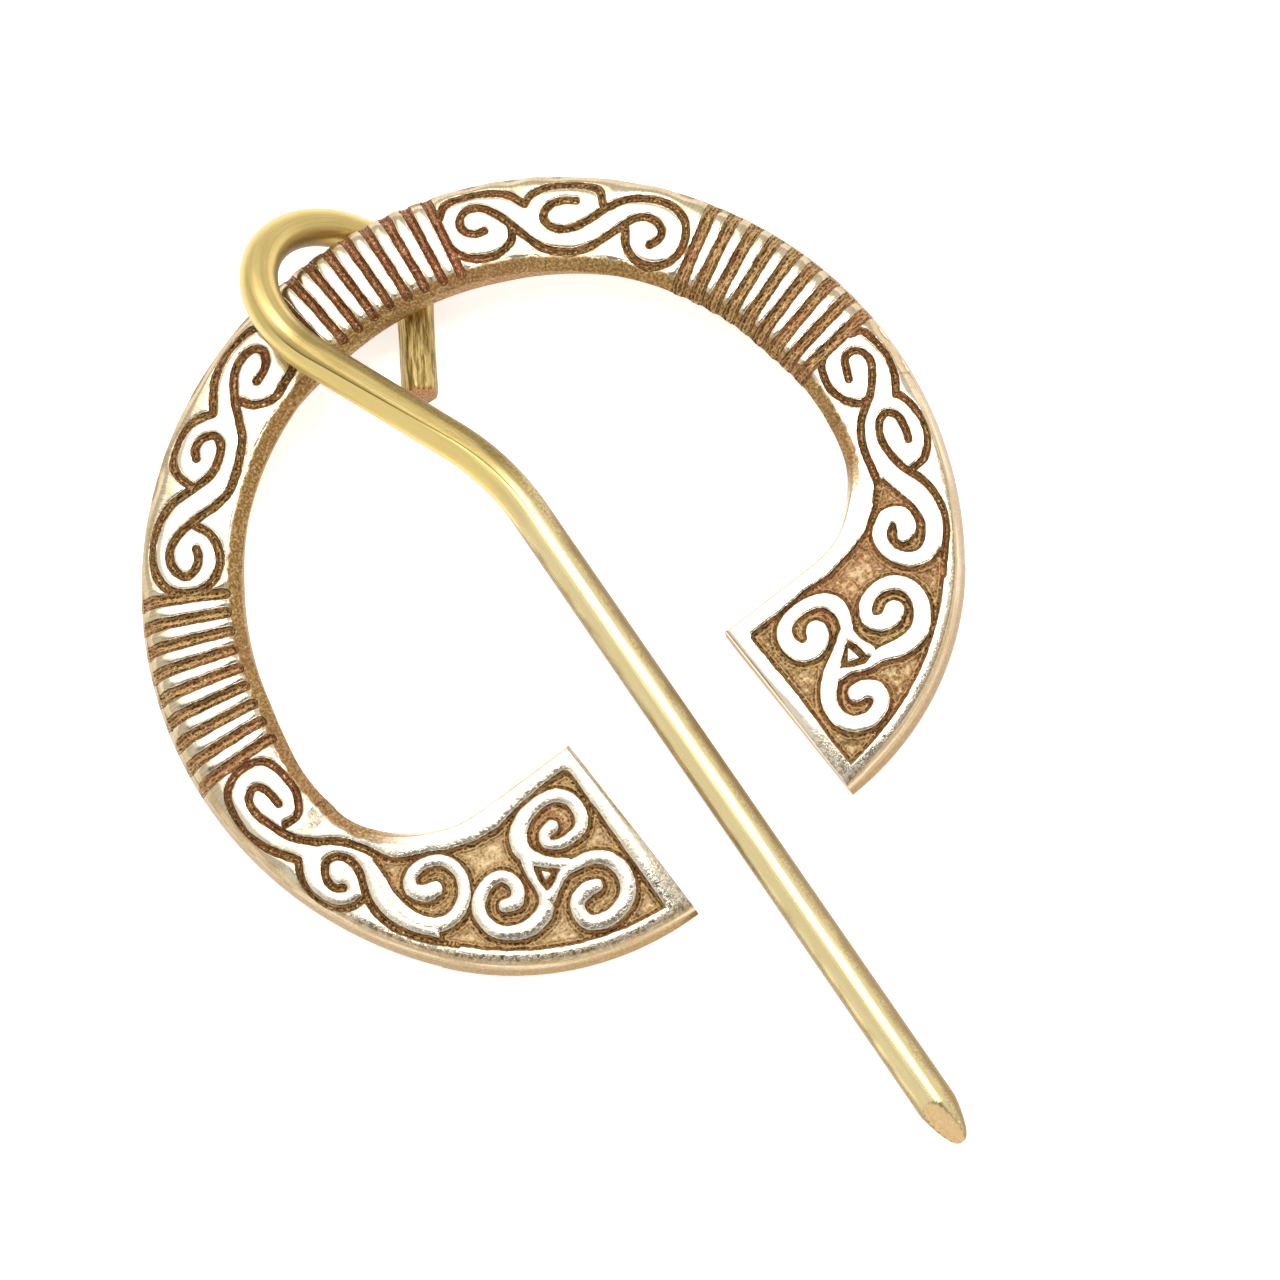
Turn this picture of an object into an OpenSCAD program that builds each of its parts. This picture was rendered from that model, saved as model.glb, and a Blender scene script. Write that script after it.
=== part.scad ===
/* [Hoop] */
// Outer radius of the open hoop
hoop_r = 27.5; // [26:0.5:29]
// Inner radius of the hoop at its back face
hole_r = 20.5; // [20:0.1:21]
// Thickness of the cast hoop
hoop_t = 2.15; // [2:0.05:2.3]
// Width of the sloping edge round the top face
edge_w = 0.65; // [0.5:0.05:0.8]
// Height of the sloping edge
edge_h = 0.8; // [0.6:0.05:1]

/* [Terminals] */
// Half of the gap between the two terminals
gap_half = 6.35; // [6:0.05:7]
// Distance from the hoop's centre to the terminals' inner edge
inner_edge = 10.55; // [9.8:0.05:10.8]
// Radius of the terminals' outer edge
outer_arc_r = 19.8; // [19:0.1:21]
// Angle from the head at which that outer edge starts
outer_arc_at = 128; // [124:1:132]
// Raised rim left beside the gap
gap_rim = 1.05; // [0.9:0.05:1.5]
// Raised rim left along the inner edge
inner_rim = 1.5; // [1.3:0.05:2]
// Raised rim left along the outer edge
outer_rim = 1.3; // [1.2:0.05:2]

/* [Relief] */
// Angle from one rib groove to the next
rib_pitch = 3.45; // [3.2:0.05:3.6]
// Number of rib grooves in a side group; the head's group has one more
rib_count = 9; // [7:1:9]
// Width of a rib groove at its inner end
rib_w = 0.6; // [0.4:0.05:0.8]
// Width of a rib groove at the hoop's rim
rib_rim_w = 0.8; // [0.7:0.05:1.1]
// Depth of the scroll lines and of the terminals' sunk fields
relief_d = 0.4; // [0.25:0.05:0.6]
// Width of the scroll lines
line_w = 0.58; // [0.4:0.02:0.8]

/* [Pin] */
// Diameter of the drawn wire
wire_d = 2.6; // [2.4:0.1:2.6]
// Angle from the head at which the eye rests on the hoop
eye_at = 1; // [0:0.5:2]
// Radius of the eye along the wire's middle
eye_r = 6.05; // [6.05:0.05:6.2]
// Lean of the eye from lying flat
eye_lean = 37; // [36:0.5:39]
// Distance of the eye's centre in from the middle of the band
eye_in = 0.3; // [0.2:0.05:0.4]
// Turn of the eye from its outermost point to the neck
eye_over = 100; // [98:1:102]
// Turn of the eye from its outermost point to the hook end
eye_under = 85; // [83:1:88]
// Length of the straight neck
neck_len = 11.1; // [11:0.1:11.2]
// Length of the straight shank with its point
shank_len = 50; // [48:0.5:50]
// Length of the filed point
point_len = 3.4; // [3:0.1:4]

/* [Hidden] */
$fn = 48;
cast_colour = "#d8b98c";
wire_colour = "#cdb465";

// The hoop lies tilted, its head held up by the eye and its terminals on the table
band_mid = (hoop_r + hole_r) / 2;
wire_r = wire_d / 2;
eye_c = band_mid - eye_in;
// Arcs that meet stand out by this much, so that they cross and do not just touch
cross_by = 0.04;
blank_in = 12;
arc_shift = hoop_r - outer_arc_r + cross_by;
arc_c = arc_shift * [sin(outer_arc_at), cos(outer_arc_at)];
corner_y = arc_c.y - sqrt(pow(outer_arc_r, 2) - pow(gap_half - arc_c.x, 2));
head_lift = eye_r * sin(eye_lean) + wire_r - hoop_t / 2;
// The eye leans over with the hoop, which lifts the head by this much more
tilt_ease = 0.047;
table_tilt = atan(head_lift / (eye_c * cos(eye_at) - corner_y)) + tilt_ease;
table_lift = -corner_y * sin(table_tilt);

// Rounded inside corner between the hoop and each terminal's inner edge
inside_at = 110;
inside_r = (inner_edge + hole_r * cos(inside_at)) / (1 + cos(inside_at));
inside_c = (hole_r - inside_r + cross_by) * [sin(inside_at), cos(inside_at)];

// Rib groups: angle of the middle from the head, grooves more than rib_count
rib_groups = [[4.9, 1], [75.9, 0], [-71.1, 0]];
rib_floor = 0.42;
rib_slope = 4;
rib_start = 20.95;

// Middles of the scroll panels: angle from the head, 1 or -1 for the hand
panels = [[41, 1], [-34, -1], [108.5, 1], [-107, -1]];
// Arcs of a panel: along the band, out from its middle, radius, start angle, turn
scroll_arcs = [
    [-6.1, -0.95, 3.5, 35, 102],
    [-6.35, 0.55, 1.08, 60, 244],
    [-6.4, 0.05, 2.3, 170, 190],
    [-0.55, -0.35, 2.85, 33, 117],
    [-0.6, 0.25, 1.05, 40, 250],
    [-0.55, 1.5, 3.85, 225, 92],
    [4.9, -0.4, 1.15, -50, 205],
    [5.6, -0.2, 2.3, -165, 290]
];
// Straight lines of a panel: start along and out, end along and out
scroll_lines = [
    [[-5.75, 1.4], [-3.3, -1.2]],
    [[-0.2, -0.7], [4.2, 1.6]],
    [[2.1, -1.3], [3.75, 0.0]]
];

// The three coils on a terminal: x, y, radius, start angle of the line in it, turn
coils = [
    [10.95, -15, 2.35, -40, 250],
    [15.85, -16.85, 2.2, 180, 250],
    [10.65, -20.1, 2.05, 100, 250]
];
coil_line_r = 1.2;
hub_c = [12.2, -17.3];
hub_arm_w = 2.1;
hub_hole_r = 0.75;
// The panel's last coil, which stands in the sunk field
field_coil_c = [20, -13.2];
field_coil_r = 2.5;
// Corners of the field's edge towards the panel, and how far down its cutter reaches
field_bend = [16, 0.1];
field_peak = [19.6, -10.2];
field_side = [24, -13];
field_foot = -26;

// Bends after the eye: roll about the wire, radius, turn
neck_bend = [61.5, 10, 14];
shank_bend = [158, 18, 23.5];
hook_bend = [15, 3, 37.5];
hook_len = 8.1;
meet_len = 0.3;
meet_r = 0.01;
// Filed faces of the point: turn round the wire, slope, height left at the end
point_faces = [[0, 20, 0.3], [105, 15, 0.55], [-105, 15, 0.55]];

// Cross-section from the axis out, with the sloping edge at radius r
function edge_profile(r) = [
    [0, 0], [r, 0], [r, hoop_t - edge_h], [r - edge_w, hoop_t], [0, hoop_t]
];

// Cross-section of the space inside radius r, opened by the sloping edge
function space_profile(r) = [
    [0, -1], [r, -1], [r, hoop_t - edge_h], [r + edge_w, hoop_t],
    [r + edge_w, hoop_t + 1], [0, hoop_t + 1]
];

// Place children at an angle from the head and a distance from the centre
module at_hoop(angle, radius) {
    rotate([0, 0, -angle])
        translate([0, radius, 0])
            children();
}

// Outline of the casting before the hole and the gap are cut
module blank() {
    rotate([0, 0, 90 - outer_arc_at])
        rotate_extrude(angle = 2 * outer_arc_at)
            polygon([
                [blank_in, 0], [hoop_r, 0], [hoop_r, hoop_t - edge_h],
                [hoop_r - edge_w, hoop_t], [blank_in, hoop_t]
            ]);
    for (side = [-1, 1])
        translate([side * arc_c.x, arc_c.y, 0])
            rotate_extrude()
                polygon(edge_profile(outer_arc_r));
}

// The round part of the hole inside the hoop
module round_hole() {
    rotate([0, 0, 90 - inside_at])
        rotate_extrude(angle = 2 * inside_at)
            polygon(space_profile(hole_r));
}

// Its two rounded corners
module corner_hole() {
    for (side = [-1, 1])
        translate([side * inside_c.x, inside_c.y, 0])
            rotate_extrude()
                polygon(space_profile(inside_r));
}

// Its straight side, along the terminals
module straight_hole() {
    translate([-inside_c.x, 0, 0])
        rotate([90, 0, 90])
            linear_extrude(2 * inside_c.x)
                polygon([
                    [2, -1], [-inner_edge, -1], [-inner_edge, hoop_t - edge_h],
                    [-inner_edge - edge_w, hoop_t], [-inner_edge - edge_w, hoop_t + 1],
                    [2, hoop_t + 1]
                ]);
}

// The gap between the terminals
module gap() {
    top_half = gap_half + edge_w;
    translate([0, -inner_edge + 1, 0])
        rotate([90, 0, 0])
            linear_extrude(hoop_r)
                polygon([
                    [-gap_half, -1], [gap_half, -1], [gap_half, hoop_t - edge_h],
                    [top_half, hoop_t], [top_half, hoop_t + 1],
                    [-top_half, hoop_t + 1], [-top_half, hoop_t],
                    [-gap_half, hoop_t - edge_h]
                ]);
}

// One rib groove, wider and deeper towards the rim
module rib_groove(angle) {
    reach = hoop_r + 1 - rib_start;
    at_hoop(angle, rib_start)
        translate([0, 0, hoop_t - rib_floor])
            rotate([-rib_slope, 0, 0])
                linear_extrude(3)
                    polygon([
                        [-rib_w / 2, 0], [rib_w / 2, 0],
                        [rib_rim_w / 2, reach], [-rib_rim_w / 2, reach]
                    ]);
}

module rib_group(group) {
    count = rib_count + group[1];
    first = group[0] - rib_pitch * (count - 1) / 2;
    for (i = [0 : count - 1])
        rib_groove(first + i * rib_pitch);
}

// A groove along an arc, as deep as the relief
module arc_groove(radius, start, turn) {
    rotate([0, 0, start])
        rotate_extrude(angle = turn)
            translate([radius - line_w / 2, hoop_t - relief_d])
                square([line_w, 2]);
}

// A point of the band from its distances along and out
function on_band(p) = (band_mid + p.y) * [sin(p.x / band_mid * 180 / PI), cos(p.x / band_mid * 180 / PI)];

// A straight groove between two points
module line_groove(a, b) {
    run = b - a;
    translate([a.x, a.y, hoop_t - relief_d])
        rotate([0, 0, atan2(run.y, run.x)])
            translate([0, -line_w / 2, 0])
                cube([norm(run), line_w, 2]);
}

// One panel of three linked coils
module scroll_panel() {
    for (a = scroll_arcs)
        at_hoop(a[0] / band_mid * 180 / PI, band_mid + a[1])
            arc_groove(a[2], a[3], a[4]);
    for (l = scroll_lines)
        line_groove(on_band(l[0]), on_band(l[1]));
}

// Raised three-armed scroll that stays in a terminal's sunk field
module triskele() {
    low = hoop_t - relief_d - 1;
    for (c = coils) {
        run = [c[0], c[1]] - hub_c;
        translate([c[0], c[1], low])
            cylinder(r = c[2], h = 3);
        translate([hub_c.x, hub_c.y, low])
            rotate([0, 0, atan2(run.y, run.x)])
                translate([0, -hub_arm_w / 2, 0])
                    cube([norm(run), hub_arm_w, 3]);
    }
    translate([field_coil_c.x, field_coil_c.y, low])
        cylinder(r = field_coil_r, h = 3);
}

// The sunk field of a terminal, less the scroll that stands in it
module sunk_field() {
    left = gap_half + gap_rim;
    top = -inner_edge - inner_rim;
    difference() {
        intersection() {
            translate([arc_c.x, arc_c.y, hoop_t - relief_d])
                cylinder(r = outer_arc_r - outer_rim, h = 2);
            translate([0, 0, hoop_t - relief_d - 0.5])
                linear_extrude(3)
                    polygon([
                        [left, top], [field_bend.x, top + field_bend.y], field_peak,
                        field_side, [field_side.x, field_foot], [left, field_foot]
                    ]);
        }
        triskele();
    }
    for (c = coils)
        translate([c[0], c[1], 0])
            arc_groove(coil_line_r, c[3], c[4]);
    translate([hub_c.x, hub_c.y, hoop_t - relief_d])
        cylinder(r = hub_hole_r, h = 2, $fn = 3);
}

// The whole cast hoop, flat on its back face
module hoop_flat() {
    difference() {
        blank();
        round_hole();
        corner_hole();
        straight_hole();
        gap();
        for (g = rib_groups)
            rib_group(g);
        for (p = panels)
            at_hoop(p[0], 0)
                mirror([p[1] < 0 ? 1 : 0, 0, 0])
                    scroll_panel();
        sunk_field();
        mirror([1, 0, 0])
            sunk_field();
    }
}

// From the hoop's own plane to the table it lies on
module lay_down() {
    translate([0, 0, table_lift])
        rotate([table_tilt, 0, 0])
            children();
}

module hoop() {
    color(cast_colour)
        lay_down()
            hoop_flat();
}

// A short sleeve over the place where two lengths of wire meet
module meet() {
    translate([0, 0, -meet_len / 2])
        cylinder(r = wire_r + meet_r, h = meet_len);
}

// A bend of the wire towards its own +X, and what follows it
module bend(b) {
    meet();
    rotate([0, 0, b[0]]) {
        translate([b[1], 0, 0])
            rotate([90, 0, 180])
                rotate_extrude(angle = b[2])
                    translate([b[1], 0])
                        circle(r = wire_r);
        translate([b[1], 0, 0])
            rotate([0, b[2], 0])
                translate([-b[1], 0, 0])
                    children();
    }
}

// A straight length of wire, and what follows it
module straight(len) {
    meet();
    cylinder(r = wire_r, h = len);
    translate([0, 0, len])
        children();
}

// The straight shank, filed flat on three sides at its point
module shank() {
    meet();
    difference() {
        cylinder(r = wire_r, h = shank_len);
        for (f = point_faces)
            translate([0, 0, shank_len])
                rotate([0, 0, f[0]])
                    translate([-f[2], 0, 0])
                        rotate([0, f[1], 0])
                            translate([-5, -5, -15])
                                cube([5, 10, 20]);
    }
}

// The eye round the hoop, with the hook end on one side and the neck on the other
module pin_wire() {
    at_hoop(eye_at, eye_c)
        translate([0, 0, hoop_t / 2])
            rotate([0, eye_lean, 0])
                rotate([0, 0, 90]) {
                    rotate([0, 0, -eye_under])
                        rotate_extrude(angle = eye_over + eye_under)
                            translate([eye_r, 0])
                                circle(r = wire_r);
                    rotate([0, 0, eye_over])
                        translate([eye_r, 0, 0])
                            rotate([90, 0, 180])
                                bend(neck_bend)
                                    straight(neck_len)
                                        bend(shank_bend)
                                            shank();
                    rotate([0, 0, -eye_under])
                        translate([eye_r, 0, 0])
                            rotate([-90, 0, 180])
                                bend(hook_bend)
                                    straight(hook_len);
                }
}

module pin() {
    color(wire_colour)
        lay_down()
            pin_wire();
}

hoop();
pin();
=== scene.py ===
"""Dress of an open ring brooch: a cast bronze hoop with scroll relief and a drawn brass pin."""

import math

import bpy
import numpy as np
from mathutils import Matrix, Vector


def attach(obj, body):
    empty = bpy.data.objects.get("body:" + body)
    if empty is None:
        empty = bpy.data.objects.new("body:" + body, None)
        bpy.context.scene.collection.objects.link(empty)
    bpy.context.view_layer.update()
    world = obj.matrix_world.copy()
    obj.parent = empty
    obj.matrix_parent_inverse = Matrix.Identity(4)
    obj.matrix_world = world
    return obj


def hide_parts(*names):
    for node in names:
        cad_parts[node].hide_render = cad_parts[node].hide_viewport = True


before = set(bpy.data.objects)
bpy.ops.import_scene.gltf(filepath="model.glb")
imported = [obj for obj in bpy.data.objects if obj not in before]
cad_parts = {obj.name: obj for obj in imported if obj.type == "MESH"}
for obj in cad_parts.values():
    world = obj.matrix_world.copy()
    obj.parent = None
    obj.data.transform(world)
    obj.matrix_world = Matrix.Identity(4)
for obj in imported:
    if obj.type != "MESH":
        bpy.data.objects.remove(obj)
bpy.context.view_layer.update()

MM = 0.001
# Further than one part of a carving is from the next, in mm
FAR = 9.0

# ---- sizes, in mm and degrees, named as in the part's own source ----
HOOP_R = 27.5
HOLE_R = 20.5
HOOP_T = 2.15
GAP_HALF = 6.35
OUTER_ARC_R = 19.8
OUTER_ARC_AT = 128.0
CROSS_BY = 0.04
WIRE_R = 1.3
EYE_AT = 1.0
EYE_R = 6.05
EYE_LEAN = 37.0
EYE_IN = 0.3
EYE_OVER = 100.0
EYE_UNDER = 85.0
NECK_LEN = 11.1
SHANK_LEN = 50.0
HOOK_LEN = 8.1
HOOK_FILED = 7.0
POINT_LEN = 3.4
# Bends of the wire: roll about its own length, radius, turn
NECK_BEND = (61.5, 10.0, 14.0)
SHANK_BEND = (158.0, 18.0, 23.5)
HOOK_BEND = (15.0, 3.0, 37.5)
TILT_EASE = 0.047


rad = math.radians


def from_head(angle, radius):
    """Point at an angle from the head, clockwise seen from above."""
    return np.array([radius * math.sin(rad(angle)), radius * math.cos(rad(angle))])


BAND_MID = (HOOP_R + HOLE_R) / 2
ARC_C = from_head(OUTER_ARC_AT, HOOP_R - OUTER_ARC_R + CROSS_BY)
CORNER_Y = ARC_C[1] - math.sqrt(OUTER_ARC_R**2 - (GAP_HALF - ARC_C[0]) ** 2)
HEAD_LIFT = EYE_R * math.sin(rad(EYE_LEAN)) + WIRE_R - HOOP_T / 2
EYE_C = BAND_MID - EYE_IN
TILT = math.degrees(math.atan(HEAD_LIFT / (EYE_C * math.cos(rad(EYE_AT)) - CORNER_Y))) + TILT_EASE
LIFT = -CORNER_Y * math.sin(rad(TILT))

# From the hoop's own plane to the table it lies on, still in mm
LAY = Matrix.Translation((0, 0, LIFT)) @ Matrix.Rotation(rad(TILT), 4, "X")


def to_table(points):
    """Points in the hoop's own plane, in mm, laid on the table, in metres."""
    m = np.array(LAY)
    return (points @ m[:3, :3].T + m[:3, 3]) * MM


# ---- where and how the surfaces change ----
# Each change comes in between two values: nothing at the first, full at the second
OVER = {
    # Degrees from the head
    "turns_in": (92, 118), "leant": (98, 118), "notches_end": (95, 92), "ribs_end": (88, 84),
    "brushing_and_painted_shade_ends": (108, 96), "hole_skin_ends": (122, 108), "ruddy_from": (-16, -9), "ruddy_to": (27, 19),
    # mm out of the nearest groove's edge, negative inside it
    "groove_wall": (0.02, -0.24), "field_floor": (-0.35, -0.9), "tooled": (-0.1, -0.3),
    "notch_wall": (0.0, -0.25),
    # mm in from the rim
    "groove_fades": (0.6, 0.0), "notched": (1.2, 0.2), "rib_rounds_out": (3.0, 0.6), "drafted": (1.2, 0.0),
    "brushed_and_painted_shade_by_rim": (2.2, 1.2), "belt": (1.2, 0.95), "marks_and_painted_grey_start": (0.1, 0.4), "rim_skin": (1.1, 0.2),
    # mm in from the hole
    "rib_rounds_in": (2.0, 0.8), "brushed_and_painted_shade_by_hole": (1.9, 1.0), "hole_skin": (0.95, 0.75),
    # mm from the gap, then mm from the outer corner
    "by_gap": (1.9, 0.6), "corner_side": (7.0, 2.5), "corner": (3.6, 0.6),
    # Plan y in mm
    "gap_wears": (-15, -22),
    # mm along the wire from its sawn end
    "hook_filed": (HOOK_FILED, HOOK_FILED - 2.0), "sawn": (0.12, 0.0), "sawn_bevel": (0.35, 0.0),
    "scuffs_start": (HOOK_LEN + 20, HOOK_LEN + 28), "on_shank": (48, 54),
    # Cosine between the wire's surface and the middle of the scuffs
    "scuffed": (0.78, 0.93),
}
# Unevenness of each kind, as waves of: height in mm or share, size of the bumps in mm, seed
UNEVEN = {
    "groove_edge": [(0.016, 0.8, 3), (0.009, 0.22, 4)], "groove_depth": [(0.12, 1.6, 5)],
    "face": [(0.014, 4.0, 6), (0.004, 1.2, 8), (0.0012, 0.4, 11)], "tooling": [(0.025, 0.35, 7)],
    "rim": [(0.1, 1.3, 9)], "hole": [(0.04, 0.8, 10)],
    "skin_edge": [(0.05, 0.5, 12)], "brushed_and_painted_shade_edge": [(0.3, 2.5, 26)],
    "drawn_wire": [(0.0012, 6.0, 21)], "file_furrows": [(0.03, 0.225, 22)], "file_steps": [(0.02, 2.0, 23)],
    "scuff_edge": [(0.025, 1.5, 24)], "dull_and_painted_shade_edge": [(0.04, 1.2, 25)],
}


def ramp(lo, hi, x):
    """0 below lo, 1 above hi, smooth between; lo may be the larger."""
    t = np.clip((x - lo) / (hi - lo), 0, 1)
    return t * t * (3 - 2 * t)


def over(change, x):
    """How far a change has come in, 0 to 1."""
    return ramp(*OVER[change], x)


def waver(x, y, size, seed, waves=14):
    """An uneven field of about -1 to 1 whose bumps are size mm across, the same each run."""
    rng = np.random.default_rng(seed)
    out = np.zeros_like(x)
    for _ in range(waves):
        turn = rng.uniform(0, 2 * math.pi)
        wave = 2 * math.pi / (size * rng.uniform(1.4, 3.0))
        phase = rng.uniform(0, 6.28)
        out += np.sin(wave * (x * math.cos(turn) + y * math.sin(turn)) + phase)
    return out / math.sqrt(waves)


def uneven(kind, x, y):
    """The unevenness of a kind at each point."""
    return sum(height * waver(x, y, size, seed) for height, size, seed in UNEVEN[kind])


def points_between(a, b, step):
    return max(2, int(np.linalg.norm(b - a) / step))


# How far apart the points of a smooth line are, in mm
STEP = 0.12


def smooth_line(knots, step=STEP):
    """A smooth line through the knots, as points about step mm apart."""
    k = np.array(knots, float)
    k = np.vstack([2 * k[0] - k[1], k, 2 * k[-1] - k[-2]])
    out = []
    for a, b, c, d in zip(k, k[1:], k[2:], k[3:]):
        n = points_between(b, c, step)
        for t in np.arange(n) / n:
            square, cube = 2 * a - 5 * b + 4 * c - d, 3 * b - a - 3 * c + d
            out.append(0.5 * (2 * b + (c - a) * t + square * t**2 + cube * t**3))
    out.append(k[-2])
    return np.array(out)


def smooth_rows(rows):
    """A smooth line through rows of x, y and half width, as points and half widths."""
    rows = np.array(rows, float)
    counts = [points_between(a, b, STEP) for a, b in zip(rows[:-1, :2], rows[1:, :2])]
    at = np.concatenate([i + np.arange(n) / n for i, n in enumerate(counts)] + [[len(rows) - 1.0]])
    return smooth_line(rows[:, :2]), np.interp(at, np.arange(len(rows)), rows[:, 2])


# ---- the carved lines of the hoop ----
# The lines cut into the four scroll panels, each as degrees from the head and mm out from the band's middle
PANELS = {
    "right_of_head": [
        [(20.3, 1.3), (21.3, 2), (23, 2.3), (26, 2.35), (29, 2.2), (31.3, 1.85), (33.4, 1.15)],
        [(20.4, -0.8), (21.5, -1.5), (23.5, -2.05), (26, -2.25), (28.5, -2.1), (30.6, -1.55), (31.2, -0.9),
         (31.1, -0.3)],
        [(26.7, -0.35), (25.2, -0.45), (23.7, -0.15), (23.1, 0.45), (23.7, 1.1), (25.2, 1.4), (27, 1.25),
         (29, 0.65), (31, -0.15), (33.2, -1.1), (35.8, -1.95), (39, -2.35), (42.2, -2.3), (45.2, -1.75),
         (48, -0.75), (49.8, 0), (51.2, 0.5), (52.8, 0.75), (54.4, 0.65), (55.7, 0.15), (55.8, -0.5), (54.6, -1.1)],
        [(33.6, 1.1), (34.6, 1.7), (36.8, 2.2), (39.5, 2.4), (42.5, 2.4), (44.8, 2.1), (45.8, 1.1)],
        [(41.5, 1.25), (39.6, 1.25), (37.6, 0.95), (36.5, 0.3), (36.9, -0.35), (38.6, -0.75), (41, -0.7),
         (43.5, -0.15), (46, 0.75), (48.3, 1.5), (51, 1.95), (54, 2.1), (56.8, 1.85), (58.8, 1.15), (59.8, 0.1),
         (59.8, -1), (58.6, -1.9), (56.6, -2.4), (54.4, -2.5), (52.1, -2.1), (50.5, -1.3), (50, -0.3)],
    ],
    "left_of_head": [
        [(-11.2, 1.2), (-11.9, 1.8), (-13.5, 2.25), (-16, 2.45), (-19, 2.45), (-21.8, 2.15), (-24.5, 1.6),
         (-26.8, 1.05)],
        [(-11.2, -0.7), (-12.2, -1.4), (-14, -1.9), (-17, -2.05), (-19.5, -2.1), (-21.5, -1.7), (-22.8, -1),
         (-23.1, -0.2)],
        [(-18.9, -0.4), (-17.2, -0.4), (-15.4, -0.1), (-14.4, 0.5), (-15, 1.1), (-17, 1.4), (-19.3, 1.25),
         (-21.5, 0.75), (-23.8, 0.05), (-26, -0.75), (-28.5, -1.5), (-31.5, -1.85), (-35, -2.05), (-38.5, -1.95),
         (-41.3, -1.3), (-43.5, -0.45), (-45, 0.15), (-47, 0.85), (-49.3, 1.25), (-51.5, 1.15), (-53.2, 0.55),
         (-53.5, -0.05), (-52.3, -0.55), (-50.5, -0.7), (-49, -0.5)],
        [(-26.9, 1.05), (-28.3, 1.7), (-30.2, 2.25), (-33, 2.5), (-35.8, 2.35), (-37.8, 1.6), (-38.8, 0.7)],
        [(-34.4, 0.85), (-33, 1.15), (-31.2, 1), (-30, 0.3), (-31, -0.35), (-33.5, -0.6), (-36.3, -0.45),
         (-38.8, 0.3), (-40.8, 1.1), (-43, 1.8), (-46, 2.35), (-49, 2.55), (-52, 2.3), (-54.5, 1.75), (-55.9, 0.9),
         (-56.3, -0.4), (-55, -1.5), (-53, -2), (-50.5, -2.15), (-47.8, -1.8), (-46, -1.15), (-45.2, -0.3)],
    ],
    "right_terminal": [
        [(90.4, 1.3), (91, 2), (93, 2.3), (96, 2.45), (99, 2.2), (102, 1.65)],
        [(90.3, -0.7), (91.6, -1.5), (94, -1.9), (96.5, -1.95), (99, -1.55), (100.7, -0.85), (100.8, -0.3)],
        [(96.3, -0.6), (94.6, -0.35), (93, 0), (92.7, 0.6), (93.6, 1.15), (95.5, 1.3), (97.5, 0.9), (99.8, 0.25),
         (101.5, -0.45), (103.5, -1.2), (106, -1.65), (109, -1.8), (112, -1.7), (115, -1.6), (118, -1.95)],
        [(101.9, 1.65), (103.5, 2.1), (106, 2.45), (108.5, 2.55), (110.8, 2.3), (112.8, 1.75), (113.8, 0.9)],
        [(109.3, 1.2), (107.3, 1.25), (105.2, 1.1), (104, 0.5), (104.8, -0.1), (106.8, -0.45), (109, -0.45),
         (111.5, -0.1), (113.8, 0.5), (115.5, 1.2), (117.8, 1.85), (120.5, 2.3), (123.3, 2.45), (126, 2.3),
         (128.5, 2.15), (130.5, 2.1)],
    ],
    "left_terminal": [
        [(-98, 0.3), (-98.4, -0.5), (-97.3, -1.15), (-95, -1.65), (-92, -1.75), (-89.3, -1.6), (-87.5, -1.1),
         (-86.7, -0.2), (-87, 0.9), (-88.3, 1.8), (-90.5, 2.3), (-94, 2.6), (-97.5, 2.45), (-100.5, 2),
         (-103.2, 1.55)],
        [(-94.8, -0.25), (-93, -0.3), (-91, -0.1), (-90.3, 0.4), (-91.3, 1.05), (-93.5, 1.25), (-96, 1.1),
         (-99, 0.85), (-101.5, 0.4), (-103.5, -0.1), (-105.5, -0.8), (-108, -1.3), (-111, -1.55), (-114, -1.6),
         (-117, -1.8)],
        [(-103.4, 1.6), (-104.7, 2.15), (-106.5, 2.7), (-109, 3), (-111.8, 2.8), (-113.8, 2.1), (-114.8, 1.2)],
        [(-111.2, 1.35), (-110, 1.65), (-108.2, 1.4), (-106.9, 0.7), (-107.1, 0.1), (-108.3, -0.3), (-110.3, -0.4),
         (-112.3, 0), (-114, 0.7), (-115.5, 1.3), (-117.8, 1.85), (-120.5, 2.2), (-123.5, 2.3), (-126.5, 2.25),
         (-130, 2.1)],
    ],
}
# Half width of a panel's lines
LINE_HALF = {"right_of_head": 0.31, "left_of_head": 0.33, "right_terminal": 0.29, "left_terminal": 0.3}
# Rib grooves: first angle, step, count, turn of the first, turn added by each, half width, inner end, its flare
RIB_GROUPS = [
    (-10.4, 3.38, 10, -0.45, 0.17, 0.34, 20.85, 0.05),
    (61.9, 3.5, 9, 0.3, 0.09, 0.42, 20.3, 0.25),
    (-57.0, -3.52, 9, 0.2, 0.02, 0.41, 21.15, 0.0),
]
RIB_OUT = 28.0
RIB_FLARE = 0.22
RIB_POINTS = 24

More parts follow.
